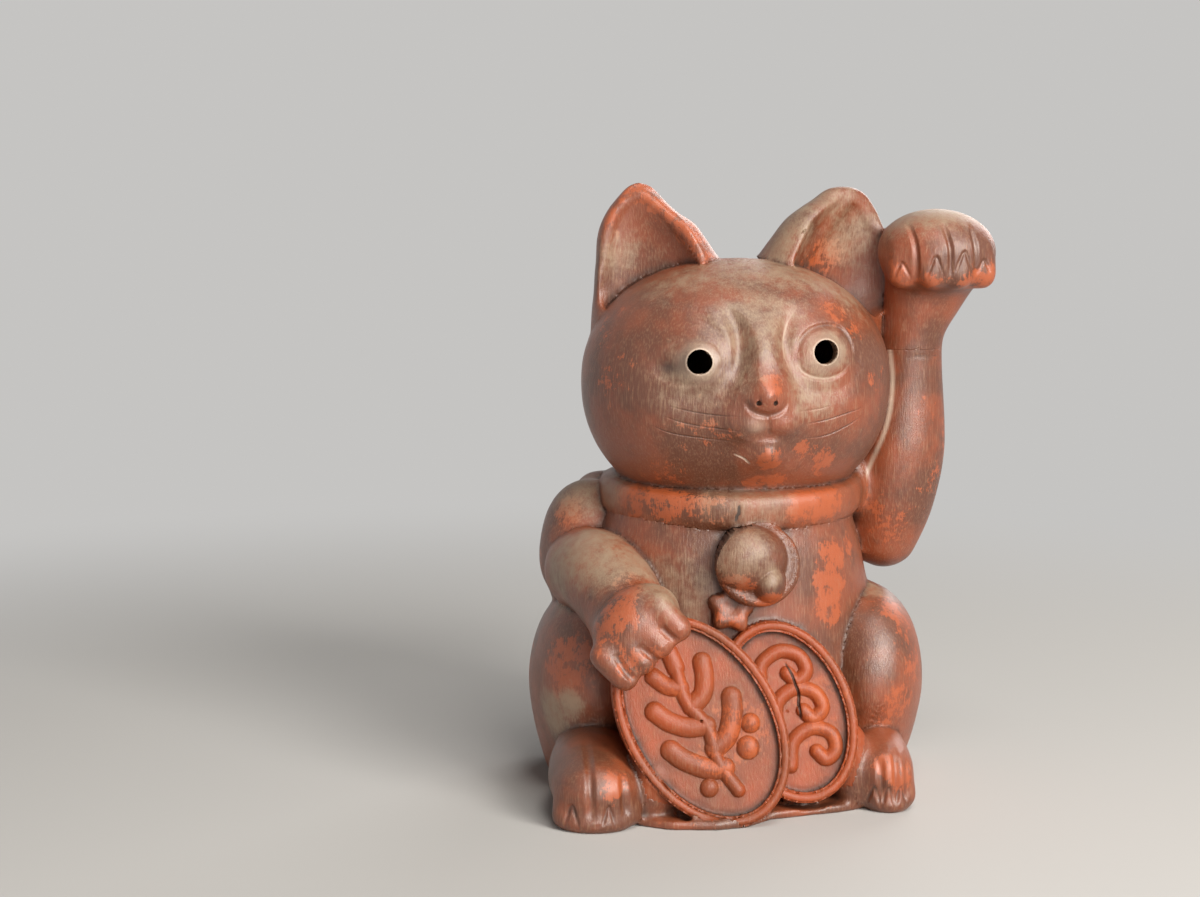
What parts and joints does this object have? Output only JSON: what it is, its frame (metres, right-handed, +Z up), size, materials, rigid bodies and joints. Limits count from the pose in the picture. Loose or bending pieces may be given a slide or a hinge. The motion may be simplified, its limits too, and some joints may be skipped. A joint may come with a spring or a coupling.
{
  "type": "lucky cat figurine",
  "caption": "Seated lucky cat in burnished red stoneware with one paw raised beside its ear, a belled collar, and oval coins held against its belly; hollow, open underneath.",
  "frame": {"origin": "on the floor under the middle of the figure's box", "axes": "+X to the cat's own left, where the paw is raised; the cat faces -Y; +Z up"},
  "size_m": [0.231, 0.2126, 0.297],
  "materials": {
    "body_clay": "burnished unglazed red-brown stoneware, satin, with buff dust",
    "limb_clay": "burnished unglazed red-brown stoneware, satin, worn orange on the high places",
    "collar_clay": "burnished unglazed stoneware, worn orange-red",
    "coin_clay": "unglazed orange-red stoneware with grey grime round the relief"
  },
  "bodies": {
    "root": {"front_shell": "body_clay", "back_shell": "body_clay", "face_shell": "body_clay", "nape_shell": "body_clay", "right_ear": "body_clay", "left_ear": "body_clay", "collar": "collar_clay", "bell": "collar_clay", "star_knot": "collar_clay", "raised_arm": "limb_clay", "raised_paw": "limb_clay", "right_shoulder": "limb_clay", "right_forearm": "limb_clay", "right_front_paw": "limb_clay", "large_coin": "coin_clay", "small_coin": "coin_clay", "right_haunch": "limb_clay", "left_haunch": "limb_clay", "right_hind_paw": "limb_clay", "left_hind_paw": "limb_clay", "front_foot": "limb_clay", "tail": "limb_clay"}
  },
  "joints": []
}
